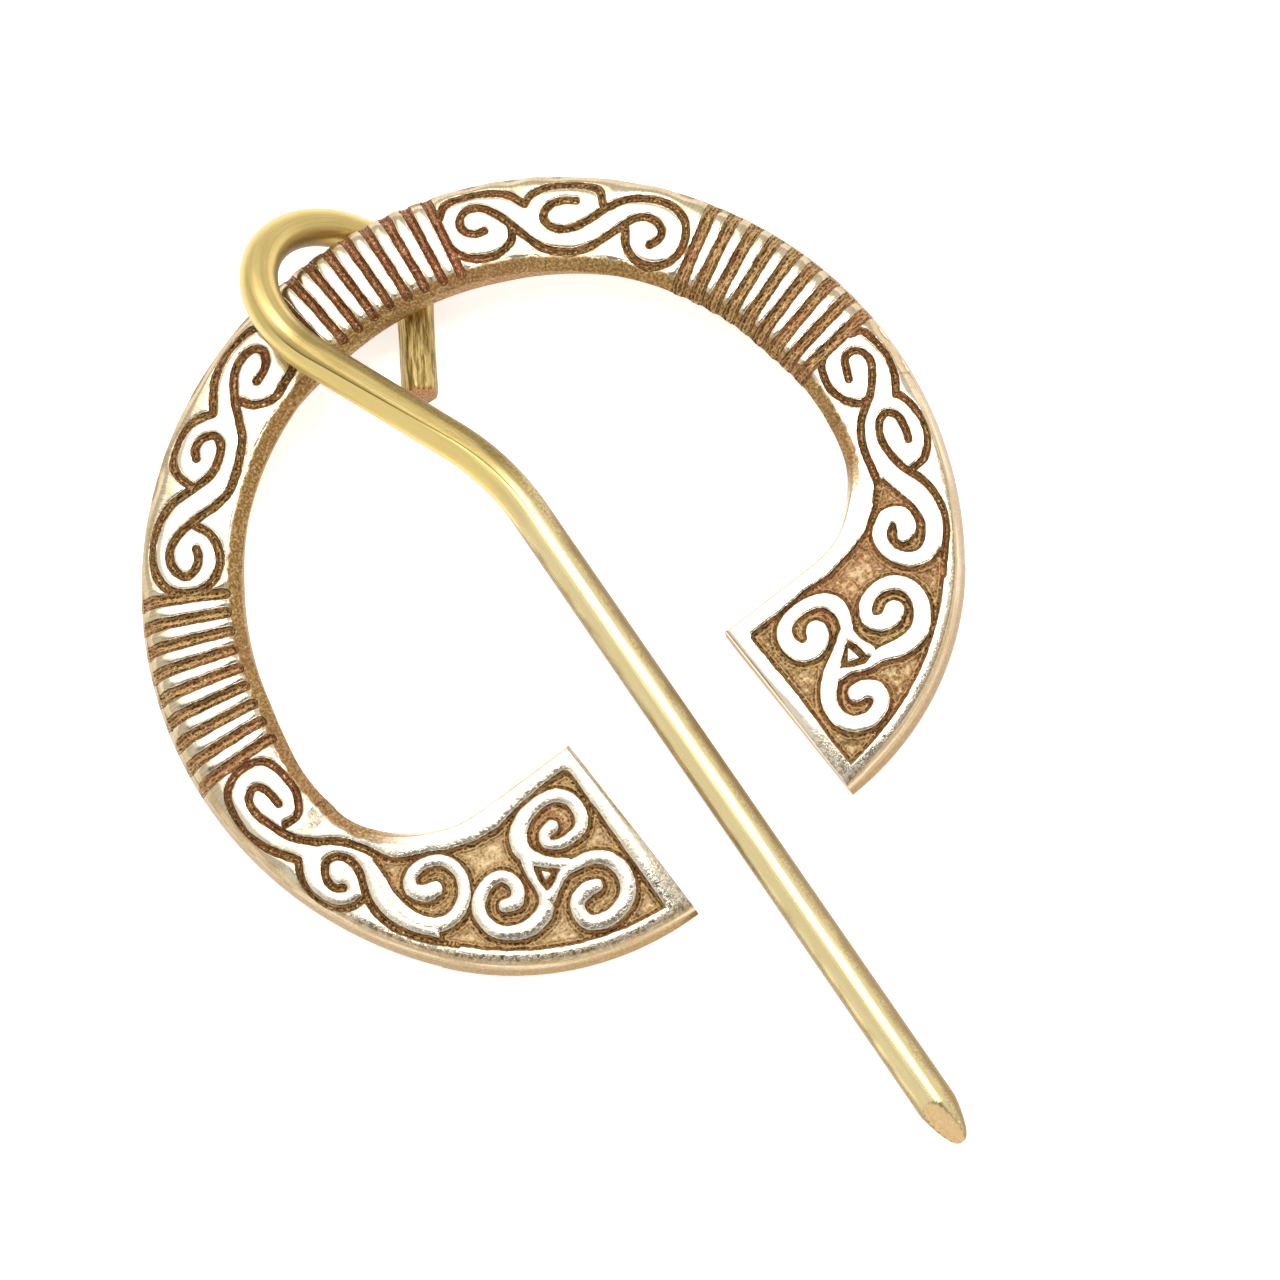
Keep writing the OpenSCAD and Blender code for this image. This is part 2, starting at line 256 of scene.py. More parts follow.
# ---- the terminals, by side: 1 is the right, -1 the left ----
# The raised arms in a terminal's sunk field: plan x and y and half width, each from its coil's inner end
ARMS = {
    1: {
        "upper": [(11.05, -14.85, 0.7), (10.75, -15.35, 0.7), (10, -15.6, 0.64), (9.35, -15.3, 0.6),
            (9.08, -14.6, 0.55), (9.15, -13.9, 0.5), (9.6, -13.3, 0.45), (10.4, -13, 0.41), (11.3, -12.98, 0.4),
            (12.2, -13.2, 0.43), (12.85, -13.65, 0.48), (13.15, -14.3, 0.5), (13.08, -15, 0.43),
            (12.8, -15.7, 0.38), (12.6, -16.3, 0.34), (12.78, -17.2, 0.2), (12.95, -18, 0.35)],
        "outer": [(15.9, -16.85, 0.62), (15.3, -17.15, 0.62), (14.6, -16.95, 0.52), (14.2, -16.4, 0.42),
            (14.4, -15.7, 0.4), (15, -15.2, 0.4), (15.8, -15.03, 0.4), (16.6, -15.15, 0.43), (17.3, -15.65, 0.47),
            (17.67, -16.5, 0.48), (17.6, -17.4, 0.5), (17.1, -18.3, 0.54), (16.3, -18.95, 0.58),
            (15.3, -19.18, 0.58), (14.3, -19, 0.55), (13.3, -18.7, 0.42), (12.2, -18.75, 0.2), (11.2, -18.3, 0.16),
            (10.3, -18, 0.4)],
        "lower": [(10.55, -19.75, 0.56), (11.1, -19.85, 0.6), (11.62, -20.35, 0.58), (11.55, -21.05, 0.5),
            (10.9, -21.55, 0.5), (10, -21.65, 0.5), (9.1, -21.25, 0.52), (8.65, -20.5, 0.5), (8.6, -19.7, 0.5),
            (8.85, -18.95, 0.5), (9.4, -18.3, 0.52), (10.1, -17.65, 0.5), (10.9, -17.05, 0.36), (11.7, -16.5, 0.3),
            (12.4, -16.05, 0.32)],
        "panel_coil": [(19.5, -13.3, 0.4), (20, -12.9, 0.62), (20.15, -12.1, 0.6), (19.6, -11.6, 0.5),
            (18.9, -11.75, 0.45), (18.25, -12.3, 0.45), (18.05, -13.1, 0.4), (18.2, -14, 0.42), (18.8, -14.8, 0.45),
            (19.7, -15.15, 0.5), (20.7, -14.8, 0.5), (21.55, -13.8, 0.52), (21.85, -12.7, 0.52), (21.8, -11.6, 0.5),
            (21.55, -10.4, 0.5), (21.4, -9.2, 0.48), (21.4, -8, 0.45)],
    },
    -1: {
        "upper": [(-10.5, -14.4, 0.42), (-11.1, -14.5, 0.38), (-11.42, -15.05, 0.3), (-10.9, -15.57, 0.31),
            (-10, -15.75, 0.36), (-9, -15.6, 0.4), (-8.45, -14.8, 0.4), (-8.45, -13.7, 0.42), (-9.1, -12.85, 0.42),
            (-10.2, -12.6, 0.42), (-11.4, -12.75, 0.5), (-12.4, -13.3, 0.55), (-12.9, -14.2, 0.55),
            (-12.85, -15, 0.48), (-12.35, -15.8, 0.38), (-11.8, -16.4, 0.32), (-11.2, -16.95, 0.36)],
        "outer": [(-16, -16.7, 0.42), (-15.35, -16.9, 0.5), (-14.78, -16.4, 0.4), (-14.65, -15.6, 0.38),
            (-15.1, -14.95, 0.38), (-15.9, -14.8, 0.4), (-16.8, -15.1, 0.42), (-17.5, -15.8, 0.42),
            (-17.7, -16.7, 0.42), (-17.5, -17.6, 0.42), (-16.9, -18.3, 0.45), (-16, -18.75, 0.52),
            (-15, -18.85, 0.56), (-14.1, -18.5, 0.52), (-13.65, -17.7, 0.3), (-13.55, -16.8, 0.2),
            (-13.4, -15.9, 0.26), (-13.1, -15.2, 0.4)],
        "lower": [(-10.55, -19.3, 0.42), (-11.3, -19.15, 0.5), (-12.15, -19.4, 0.48), (-12.5, -20.1, 0.45),
            (-12.35, -20.9, 0.48), (-11.6, -21.4, 0.5), (-10.5, -21.5, 0.5), (-9.4, -21.1, 0.5),
            (-8.75, -20.2, 0.5), (-8.6, -19.2, 0.48), (-9, -18.2, 0.45), (-9.8, -17.6, 0.42), (-10.8, -17.35, 0.4),
            (-11.7, -17.35, 0.3), (-12.6, -17.75, 0.24), (-13.4, -18.1, 0.4)],
        "panel_coil": [(-19, -12.95, 0.52), (-19.6, -12.8, 0.58), (-20.15, -12.15, 0.42), (-19.9, -11.45, 0.4),
            (-19.2, -11.15, 0.37), (-18.3, -11.2, 0.35), (-17.5, -11.7, 0.36), (-17.1, -12.5, 0.35),
            (-17.1, -13.4, 0.36), (-17.6, -14.35, 0.4), (-18.5, -15.05, 0.44), (-19.6, -15.2, 0.45),
            (-20.6, -14.7, 0.48), (-21.3, -13.7, 0.5), (-21.6, -12.6, 0.48), (-21.65, -11.4, 0.42),
            (-21.45, -10.2, 0.36), (-21.4, -9, 0.36), (-21.6, -7.8, 0.4)],
    },
}
# The sunk field's edge from the gap up along the hole and back down inside the panel coil's arm, in plan mm
FIELD = {
    1: [(7.4, -30), (7.25, -21), (7.4, -17.5), (7.35, -12.5), (7.6, -12.22), (10, -12.25), (12, -12.08),
        (14, -12.25), (16.2, -11.85), (17.5, -11.5), (18.7, -10.7), (19.8, -9.9), (20.5, -9.2), (21.4, -9.5),
        (21.85, -11.5), (21.85, -13), (21.2, -14.4), (20.6, -15.1), (21.2, -15.9), (27, -20), (27, -30)],
    -1: [(-8.1, -30), (-7.7, -21), (-7.45, -15), (-7.32, -12.1), (-7.6, -11.82), (-9, -11.75), (-11.5, -11.9),
        (-13.3, -12.2), (-15, -11.98), (-16.8, -11.3), (-17.7, -10.7), (-19.3, -9.98), (-20, -9.4), (-20.7, -8.6),
        (-21.4, -9.2), (-21.6, -11.5), (-21.5, -13), (-20.9, -14.3), (-20.2, -15.1), (-20.8, -15.9), (-27, -20),
        (-27, -30)],
}
FIELD_RIM_OUT = 1.3
# Small raised triangle between the arms, in plan mm
HUB = {
    1: [(11.95, -17.05), (11.4, -17.72), (12.12, -18.0)],
    -1: [(-12.75, -16.35), (-12.4, -16.85), (-12.95, -17.0)],
}
# The hole's edge round each terminal, after the even part: plan mm, mirrored for the left
HOLE_EDGE = {
    1: [(19.75, -6.5), (19.15, -7.65), (18.35, -8.65), (17.4, -9.5), (16.3, -10.25), (15, -10.72), (13.4, -10.9),
        (10, -10.92), (6.35, -10.92)],
    -1: [(20.75, -5.2), (20.25, -6.4), (19.55, -7.4), (18.75, -8.3), (17.85, -9), (16.9, -9.55), (15.5, -10.15),
        (14, -10.43), (10, -10.55), (6.3, -10.6)],
}
# The hole's radius grows a little towards the terminals: degrees from the head, mm
HOLE_SWELL = {
    1: [(90, 20.65), (97, 20.78), (103, 20.82)],
    -1: [(84, 20.7), (91, 21.05), (97, 21.25), (101, 21.3)],
}

# ---- the hoop's surface, in mm and degrees ----
# The head's stretch ends here, and the hole's path starts this much before
SEAM_AT, OVERRUN = 77.0, 7.0
# An arm's columns up to this angle take this share of their count
SPLIT_AT, SPLIT_SHARE = 103.0, 0.3
# For so many points from its start a path's angle only grows
STEADY, HAIR = 40, 0.01
RIM_POINTS = (90, 120)
RELIEF_D, FIELD_EXTRA, NOTCH_D, BUFFED_OFF = 0.38, 0.1, 0.16, 0.02
# Share of a groove's depth lost at the rim, and where the land beside a groove starts
GROOVE_LOSS, LAND_FROM = 0.65, -0.05
# Rounding of the lands' edges: depth, how soon it fades, share lost on the leant terminal
PILLOW, PILLOW_FADE, PILLOW_LOSS = 0.03, 0.16, 0.7
# Rounding of the ribs' ends: depth, how soon it fades
RIB_CROWN, RIB_CROWN_FADE = 0.1, 0.3
# The leant terminal: crown of its arms, mm in from their edges; slope to its corner, plan y where it starts
ARM_CROWN, ARM_CROWN_IN = 0.2, 0.6
GROUND_SLOPE, GROUND_FROM = 0.076, -18.0
# Rounded shoulders: width, depth and power, first on the band, then on the terminals, truer by this share
RIM_SHOULDER = ((1.9, 0.85, 2.4), (0.5, 0.55, 1.3))
HOLE_SHOULDER = ((1.15, 0.8, 1.6), (0.34, 0.4, 1.6))
GAP_SHOULDER = ((0.35, 0.2, 2.2), (1.3, 0.26, 2.2))
TRUER = 0.9
# Soft breaks on the terminals, width, depth and power: inside the rim, and round the outer corner
RIM_BREAK = (1.25, 0.26, 1.4)
CORNER_BREAK = (4.6, 0.6, 1.6)
# The walls lean by the mould's draft, the hole's by this share of it. From the top: share of height, of lean
DRAFT, HOLE_DRAFT = 0.3, 0.2
WALL = np.array([(0.93, 0.93), (0.75, 0.75), (0.55, 0.5), (0.35, 0.25), (0.16, 0.06), (0.04, 0.12)])
# Points across the back, as shares of the way from the rim
BACK = np.array([0.02, 0.3, 0.7, 0.92])
# How far the hole's wall leans back under its top edge: degrees from the head, mm
HOLE_UNDER = [(-55, 0), (-42, 0.22), (-18, 0.3), (-8, 0), (28, 0), (55, 0.5), (98, 0.5), (112, 0)]
# Share of the casting's skin left on the outer wall and the back; a groove fades by so much down the wall
OUTER_SKIN, BACK_SKIN, GROOVE_DOWN = 0.3, 0.9, 0.35
# What the foot of the outer wall, the back and the hole's wall give as mm down the rim
DOWN_WALL, DOWN_BACK, DOWN_HOLE = 1.3, 1.5, -3.0
# Most painted beige shade, with brushing, by the rim and by the hole
BRUSHED_AND_PAINTED_SHADE_BY_RIM, BRUSHED_AND_PAINTED_SHADE_BY_HOLE = 0.95, 0.6
# Wheel mottling under painted grey that stands for dark reflections, by side: all over a terminal, and on the belt
# along its rim; then by the gap
LEANT_MARKS_AND_PAINTED_GREY = {0: 0.0, 1: 0.0, -1: 0.3}
BELT_MARKS_AND_PAINTED_GREY = {0: 0.0, 1: 0.42, -1: 1.0}
GAP_MARKS_AND_PAINTED_GREY = 0.8
# What each point of the hoop hands to the bronze, with its limits
FINISHES = {
    "from_groove": (-1.5, 1.5), "cast_skin": (0, 1), "down_the_rim": (-3, 2), "wheel_marks_and_painted_grey": (0, 1),
    "ruddy": (0, 1), "brushed_and_painted_shade": (0, 1),
}
# Faces that meet at more than this angle keep a hard edge
HOOP_SHARP, WIRE_SHARP = 70, 38


def carved_lines():
    """Every groove as (points, half widths)."""
    lines = []
    for name, panel in PANELS.items():
        for line in panel:
            pts = smooth_line([from_head(angle, BAND_MID + out) for angle, out in line])
            lines.append((pts, np.full(len(pts), LINE_HALF[name])))
    t = np.linspace(0, 1, RIB_POINTS)
    for first, step, count, turn, turn_by, half, inner_end, inner_flare in RIB_GROUPS:
        wide = half * (1 + RIB_FLARE * t**2 + inner_flare * (1 - t) ** 3)
        for i in range(count):
            mid, k = first + i * step, turn + turn_by * i
            a, b = from_head(mid + k, inner_end + half), from_head(mid - k, RIB_OUT)
            lines.append((a + (b - a) * t[:, None], wide))
    return lines


def distance_to_line(p, pts, half, reach=1.6):
    """Distance from each point of p to the line, less its half width there; FAR beyond its reach."""
    best = np.full(len(p), FAR)
    near = np.all((p > pts.min(0) - reach) & (p < pts.max(0) + reach), axis=1)
    if not near.any():
        return best
    q = p[near]
    out = np.full(len(q), FAR)
    for a, b, ha, hb in zip(pts[:-1], pts[1:], half[:-1], half[1:]):
        d = b - a
        t = np.clip(((q - a) @ d) / max(d @ d, 1e-9), 0, 1)
        away = np.hypot(q[:, 0] - a[0] - t * d[0], q[:, 1] - a[1] - t * d[1])
        out = np.minimum(out, away - (ha + (hb - ha) * t))
    best[near] = out
    return best


def distance_to_path(p, path):
    """Plain distance from each point to a line, FAR at most."""
    return distance_to_line(p, path, np.zeros(len(path)), FAR)


def inside_loop(p, loop):
    """Whether each point lies inside a closed outline."""
    hit = np.zeros(len(p), bool)
    for a, b in zip(loop, np.roll(loop, -1, axis=0)):
        if a[1] == b[1]:
            continue
        spans = (a[1] > p[:, 1]) != (b[1] > p[:, 1])
        hit ^= spans & (p[:, 0] < (b[0] - a[0]) * (p[:, 1] - a[1]) / (b[1] - a[1]) + a[0])
    return hit


def distance_to_loop(p, corners):
    """Distance to a closed outline, negative inside it."""
    loop = np.array(corners, float)
    out = distance_to_path(p, np.vstack([loop, loop[:1]]))
    return np.where(inside_loop(p, loop), -out, out)


def circle_arc(centre, radius, start, turn, count):
    a = np.radians(start + turn * np.linspace(0, 1, count))
    return centre + radius * np.stack([np.sin(a), np.cos(a)], 1)


def hole_path(side, step=0.3):
    """The hole's edge on one side, from before the seam to the gap, as if on the side of +X."""
    even = [from_head(a, HOLE_R) for a in np.arange(SEAM_AT - OVERRUN, SEAM_AT + 0.1, 1.0)]
    swell = [from_head(a, r) for a, r in HOLE_SWELL[side]]
    return smooth_line(np.vstack([even, swell, HOLE_EDGE[side]]), step)


def rim_path():
    """The outer edge from the seam to the gap."""
    first = circle_arc(np.zeros(2), HOOP_R, SEAM_AT, OUTER_ARC_AT - SEAM_AT, RIM_POINTS[0])
    end_turn = math.degrees(math.atan2(GAP_HALF - ARC_C[0], CORNER_Y - ARC_C[1]))
    last = circle_arc(ARC_C, OUTER_ARC_R, OUTER_ARC_AT, end_turn % 360 - OUTER_ARC_AT, RIM_POINTS[1])
    return np.vstack([first, last])


def edges_of(p, side):
    """Distances in from the outer edge, the hole and the gap, and degrees from the head; side 0 is the head."""
    x, y = np.abs(p[:, 0]), p[:, 1]
    r = np.hypot(x, y)
    angle = np.degrees(np.arctan2(x, y))
    rim = np.where(angle < OUTER_ARC_AT, HOOP_R - r, OUTER_ARC_R - np.hypot(x - ARC_C[0], y - ARC_C[1]))
    if side == 0:
        return rim, r - HOLE_R, np.full(len(p), FAR), angle
    hole = distance_to_path(np.stack([x, y], 1), hole_path(side))
    return rim, hole, np.where(y < 0, x - GAP_HALF, FAR), angle


def field_edge(p, side, rim, arms):
    """Signed distance to the edge of a terminal's sunk field, negative inside it, the arms left standing."""
    out = np.maximum(distance_to_loop(p, FIELD[side]), FIELD_RIM_OUT - rim)
    standing = distance_to_loop(p, HUB[side])
    for pts, half in arms:
        standing = np.minimum(standing, distance_to_line(p, pts, half))
    return np.maximum(out, -standing)


def fall_off(d, width, depth, power):
    """How far a face falls near an edge that is d away: by its depth at the edge, by nothing a width in."""
    return depth * np.clip(1 - d / width, 0, 1) ** power


def shoulder(d, sizes, change):
    """The same with sizes that change from the first to the second."""
    return fall_off(d, *(a + (b - a) * change for a, b in zip(*sizes)))


def from_corner(x, y):
    """Distance from the outer corner of the terminal on the same side."""
    return np.hypot(np.abs(x) - GAP_HALF, y - CORNER_Y)


def carve(p, side, lines, arms):
    """Height of the top face, distance out of the nearest groove or field, and the distances to the edges."""
    x, y = p[:, 0], p[:, 1]
    rim, hole, gap, angle = edges_of(p, side)
    edge = np.full(len(p), FAR)
    for pts, half in lines:
        edge = np.minimum(edge, distance_to_line(p, pts, half))
    if side:
        edge = np.minimum(edge, field_edge(p, side, rim, arms))
    edge = edge + uneven("groove_edge", x, y)
    out, on_land = np.clip(edge, 0, FAR), edge > LAND_FROM
    turned_in = over("turns_in", angle)
    ragged = 1 - TRUER * turned_in
    fall = np.maximum.reduce([
        shoulder(rim + ragged * uneven("rim", x, y), RIM_SHOULDER, turned_in),
        shoulder(hole + ragged * uneven("hole", x, y), HOLE_SHOULDER, turned_in),
        shoulder(gap, GAP_SHOULDER, over("gap_wears", y)),
    ])
    fall += turned_in * fall_off(rim, *RIM_BREAK) + fall_off(from_corner(x, y), *CORNER_BREAK)
    cut = RELIEF_D * (1 + uneven("groove_depth", x, y)) * over("groove_wall", edge)
    cut = (cut + FIELD_EXTRA * over("field_floor", edge)) * (1 - GROOVE_LOSS * over("groove_fades", rim))
    cut += NOTCH_D * over("notched", rim) * over("notch_wall", edge) * over("notches_end", angle)
    cut -= uneven("tooling", x, y) * over("tooled", edge)
    # The left terminal was leant on the wheel: it falls away to its outer corner and its arms are rounder
    ground = over("leant", angle) if side < 0 else np.zeros_like(x)
    soft = PILLOW * (1 - PILLOW_LOSS * ground) * np.exp(-out / PILLOW_FADE) * on_land
    soft += ground * ARM_CROWN * np.clip(ARM_CROWN_IN - out, 0, 1) ** 2
    soft += ground * GROUND_SLOPE * np.clip(GROUND_FROM - y, 0, FAR)
    ends = np.maximum(over("rib_rounds_out", rim), over("rib_rounds_in", hole)) * over("ribs_end", angle)
    soft += RIB_CROWN * ends * np.exp(-out / RIB_CROWN_FADE) * on_land
    height = HOOP_T - BUFFED_OFF + uneven("face", x, y) - fall - cut - soft
    return height, edge, (rim, hole, gap, angle)


def columns_head(count):
    """Matching points of the hole's edge and the outer edge, over the even part of the band."""
    a = np.radians(np.linspace(-SEAM_AT, SEAM_AT, count))
    ray = np.stack([np.sin(a), np.cos(a)], 1)
    return HOLE_R * ray, HOOP_R * ray


def lengths(path):
    """How far along the path each of its points is."""
    return np.concatenate([[0], np.cumsum(np.linalg.norm(np.diff(path, axis=0), axis=1))])


def spread(path, count):
    """The same path with count points, evenly spaced."""
    s = lengths(path)
    t = np.linspace(0, s[-1], count)
    return np.stack([np.interp(t, s, path[:, 0]), np.interp(t, s, path[:, 1])], 1)


def columns_side(count, side):
    """The same from the seam round one terminal to the gap, as if on the side of +X."""
    halves = []
    for path, radius in ((hole_path(side), HOLE_R), (rim_path(), HOOP_R)):
        angle = np.degrees(np.arctan2(path[:, 0], path[:, 1]))
        middle = [np.interp(SPLIT_AT, angle[:STEADY], path[:STEADY, k]) for k in (0, 1)]
        before = (angle > SEAM_AT + HAIR) & (angle < SPLIT_AT - HAIR)
        near = np.vstack([[from_head(SEAM_AT, radius)], path[before], [middle]])
        far = np.vstack([[middle], path[angle > SPLIT_AT + HAIR]])
        first = int(count * SPLIT_SHARE)
        halves.append(np.vstack([spread(near, first), spread(far, count - first + 1)[1:]]))
    return halves


def finish_of_top(top, plan, side, rim, hole, gap, angle):
    """How each point of the top face was finished, and where it gets painted beige shade and painted grey, by the
    names that the bronze reads.
    """
    x, y = plan[..., 0], plan[..., 1]
    corner, bearing = from_corner(x, y), np.degrees(np.arctan2(x, y))
    ragged = uneven("skin_edge", top[..., 0], top[..., 1])
    skin = over("hole_skin", hole + ragged) * over("hole_skin_ends", angle)
    # Towards both edges of the band the lands get brush lines under a painted beige shade
    patchy = uneven("brushed_and_painted_shade_edge", x, y)
    by_rim = BRUSHED_AND_PAINTED_SHADE_BY_RIM * over("brushed_and_painted_shade_by_rim", rim - patchy)
    by_hole = BRUSHED_AND_PAINTED_SHADE_BY_HOLE * over("brushed_and_painted_shade_by_hole", hole - patchy)
    leant = over("leant", angle) * np.maximum(LEANT_MARKS_AND_PAINTED_GREY[side], BELT_MARKS_AND_PAINTED_GREY[side] * over("belt", rim))
    by_gap = GAP_MARKS_AND_PAINTED_GREY * over("by_gap", gap) * over("corner_side", corner)
    marks_and_painted_grey = np.maximum.reduce([leant, over("corner", corner), by_gap]) * over("marks_and_painted_grey_start", rim)
    return {
        "cast_skin": np.maximum(skin, OUTER_SKIN * over("rim_skin", rim + ragged)),
        "wheel_marks_and_painted_grey": marks_and_painted_grey,
        "ruddy": over("ruddy_from", bearing) * over("ruddy_to", bearing),
        "brushed_and_painted_shade": np.maximum(by_rim, by_hole) * over("brushing_and_painted_shade_ends", angle),
    }


def strip(xy, z, **finish):
    """Rows of points with what the bronze reads at each; what isn't said is 0."""
    out = {key: np.clip(np.broadcast_to(finish.get(key, 0.0), z.shape), *FINISHES[key]) for key in FINISHES}
    return {"place": np.dstack([xy, z]), **out}


def tube_faces(columns, ring):
    """The four-sided faces between rings of points, each joined to the next."""
    i, j = np.meshgrid(np.arange(columns - 1), np.arange(ring), indexing="ij")
    a, b = i * ring + j, i * ring + (j + 1) % ring
    return np.stack([a, b, b + ring, a + ring], -1).reshape(-1, 4)


def in_scene(name, data):
    obj = bpy.data.objects.new(name, data)
    bpy.context.scene.collection.objects.link(obj)
    return obj


def mesh_piece(name, verts, faces, values, sharp, flat_last=False):
    """A smooth-shaded piece that carries named values at its points, for its material."""
    mesh = bpy.data.meshes.new(name)
    mesh.from_pydata(verts.tolist(), [], faces)
    mesh.polygons.foreach_set("use_smooth", [True] * len(faces))
    if flat_last:
        mesh.polygons[len(faces) - 1].use_smooth = False
    if sharp:
        mesh.set_sharp_from_angle(angle=rad(sharp))
    for key, value in values.items():
        kind, slot = ("FLOAT", "value") if value.ndim == 1 else ("FLOAT_VECTOR", "vector")
        layer = mesh.attributes.new(key, kind, "POINT")
        layer.data.foreach_set(slot, value.astype(np.float32).reshape(-1))
    mesh.update()
    return in_scene(name, mesh)


def hoop_piece(name, edges, across, side, lines, arms):
    """One stretch of the casting: a ring of points at each column, joined along it."""
    mirror = -1 if side < 0 else 1
    inner, outer = (path * [mirror, 1] for path in edges)
    n = len(inner)
    t = np.linspace(0, 1, across)
    wide = (outer - inner)[:, None]
    plan = inner[:, None] + wide * t[:, None]
    height, edge, away = carve(plan.reshape(-1, 2), side, lines, arms)
    height, edge, rim, *away = (v.reshape(n, across) for v in (height, edge, *away))
    inward = -wide / np.linalg.norm(wide, axis=2)[..., None]
    top = plan + inward * (DRAFT * over("drafted", rim) * t)[..., None]
    wall, lean = WALL.T
    wall_up, lean_up = WALL[::-1].T
    under = np.interp(np.degrees(np.arctan2(inner[:, 0], inner[:, 1])), *np.array(HOLE_UNDER).T)
    back_in = HOLE_DRAFT * DRAFT * lean_up + under[:, None] * (1 - wall_up)
    drop = 1 - wall
    strips = [
        strip(top, height, from_groove=edge, down_the_rim=-rim, **finish_of_top(top, plan, side, rim, *away)),
        strip(outer[:, None] + inward * (DRAFT * lean)[:, None], height[:, -1:] * wall, cast_skin=OUTER_SKIN,
              from_groove=np.minimum(edge[:, -1:] + GROOVE_DOWN * drop, 1), down_the_rim=DOWN_WALL * drop),
        strip(outer[:, None] - wide * BACK[:, None], np.zeros((n, len(BACK))), cast_skin=BACK_SKIN,
              from_groove=1, down_the_rim=DOWN_BACK),
        strip(inner[:, None] - inward * back_in[..., None], height[:, :1] * wall_up, cast_skin=1,
              from_groove=1, down_the_rim=DOWN_HOLE),
    ]
    points = {key: np.concatenate([s[key] for s in strips], 1) for key in strips[0]}
    place = points.pop("place")
    ring = place.shape[1]
    faces = tube_faces(n, ring)[:, ::-mirror].tolist()
    if side:
        faces.append([(n - 1) * ring + k for k in range(ring)][::-mirror])
    values = {key: value.reshape(-1) for key, value in points.items()}
    return mesh_piece(name, to_table(place.reshape(-1, 3)), faces, values, HOOP_SHARP if side else None, bool(side))


# ---- the pin ----
# Flats on the wire: start and end along it, mm of fade, angle round the wire, distance from its middle
FLATS = [
    (-1.0, 8.6, 0.8, -5.0, 1.08), (-1.0, 8.6, 0.8, 74.0, 1.14),
    (31.0, 46.5, 3.0, 113.0, 1.23), (31.0, 46.5, 3.0, 163.0, 1.23),
]
# The point: mm in which it narrows, the power, the least share; its filed side's turn, slope and mm left;
# length of the tip, swept finely, the step before it and the step in it
POINT_ROUND, POINT_FACE, POINT_STEPS = (2.7, 0.42, 0.0008), (116.0, 21.8, 0.05), (0.4, 0.06, 0.02)
# The coarse file took this off the hook, and this off its sawn edge
HOOK_LOSS, BEVEL = 0.05, 0.12
# The file's steps, and the waves of the painted flank shade's edge, are this many times finer across the wire than
# along it
STEPS_FINER, DULL_AND_PAINTED_SHADE_FINER = 20.0, 3.0
SCUFF_TURN = 207.0
# Painted shade on the wire's flanks and underside, as if lit from above, a little from the left, the metal there
# made duller. The wire's round is unshaded down to the first height of each pair, and fully shaded from the second
PAINTED_LIGHT_FROM, DULL_AND_PAINTED_SHADE_NECK, DULL_AND_PAINTED_SHADE_SHANK = (-0.1, 0.0, 0.995), (0.55, -0.1), (0.86, 0.5)
# A deep draw line: its angle round the wire, and its turn for each mm along
LINE_ANGLE, LINE_DRIFT = 190.0, -1.3
# mm along the wire where a finish comes in: nothing at the first, full at the second
ALONG = {
    "eye_from": (8.0, 10.0), "eye_to": (31.0, 26.0), "eye_deep_to": (30.0, 26.0), "neck_from": (28.0, 31.0),
    "neck_to": (50.5, 46.0), "line_to": (53.5, 50.0), "shank_from": (46.0, 54.0),
}


def turned(m, axis, angle):
    return m @ Matrix.Rotation(rad(angle), 4, axis)


def moved(m, x, y, z):
    return m @ Matrix.Translation((x, y, z))


def wire_run(start, steps, gap):
    """Frames along the wire from a start frame, its z along the wire, and the roll left in the last one.

    Steps are ("bend", roll, radius, turn) or ("straight", length, gap)."""
    frames, m, rolled = [start.copy()], start, 0.0
    for step in steps:
        if step[0] == "straight":
            n = max(1, round(step[1] / step[2]))
            run = [moved(m, 0, 0, step[1] * (k + 1) / n) for k in range(n)]
        else:
            _, roll, radius, turn = step
            rolled += roll
            hub = moved(turned(m, "Z", roll), radius, 0, 0)
            n = max(2, round(radius * rad(turn) / gap))
            run = [moved(turned(hub, "Y", turn * (k + 1) / n), -radius, 0, 0) for k in range(n)]
        frames += [turned(f, "Z", -rolled) for f in run]
        m = run[-1]
    return frames, rolled


def pin_frames(gap):
    """Frames from the wire's sawn hook end round the eye to its point, and the roll left at the point."""
    eye = LAY @ Matrix.Rotation(-rad(EYE_AT), 4, "Z")
    eye = turned(turned(moved(eye, 0, EYE_C, HOOP_T / 2), "Y", EYE_LEAN), "Z", 90)

    def on_eye(angle):
        return turned(turned(moved(turned(eye, "Z", angle), EYE_R, 0, 0), "Z", 180), "X", 90)

    tip, before_tip, in_tip = POINT_STEPS
    hook_steps = [("bend", *HOOK_BEND), ("straight", HOOK_LEN, gap)]
    neck_steps = [
        ("bend", *NECK_BEND), ("straight", NECK_LEN, gap), ("bend", *SHANK_BEND),
        ("straight", SHANK_LEN - POINT_LEN, gap),
        ("straight", POINT_LEN - tip, before_tip), ("straight", tip, in_tip),
    ]
    hook, _ = wire_run(turned(on_eye(-EYE_UNDER), "X", 180), hook_steps, gap)
    count = round(EYE_R * rad(EYE_OVER + EYE_UNDER) / gap)
    loop = [on_eye(a) for a in np.linspace(-EYE_UNDER, EYE_OVER, count)]
    neck, rolled = wire_run(loop[-1], neck_steps, gap)
    frames = [turned(f, "X", 180) for f in hook[:0:-1]] + loop + neck[1:]
    return np.array([np.array(f) for f in frames]), rolled


def flat_at(facing, level, least):
    """Radius that a flat leaves the wire, level mm out from its middle, where the surface faces it enough."""
    return np.where(facing > least, level / np.maximum(facing, least), FAR)


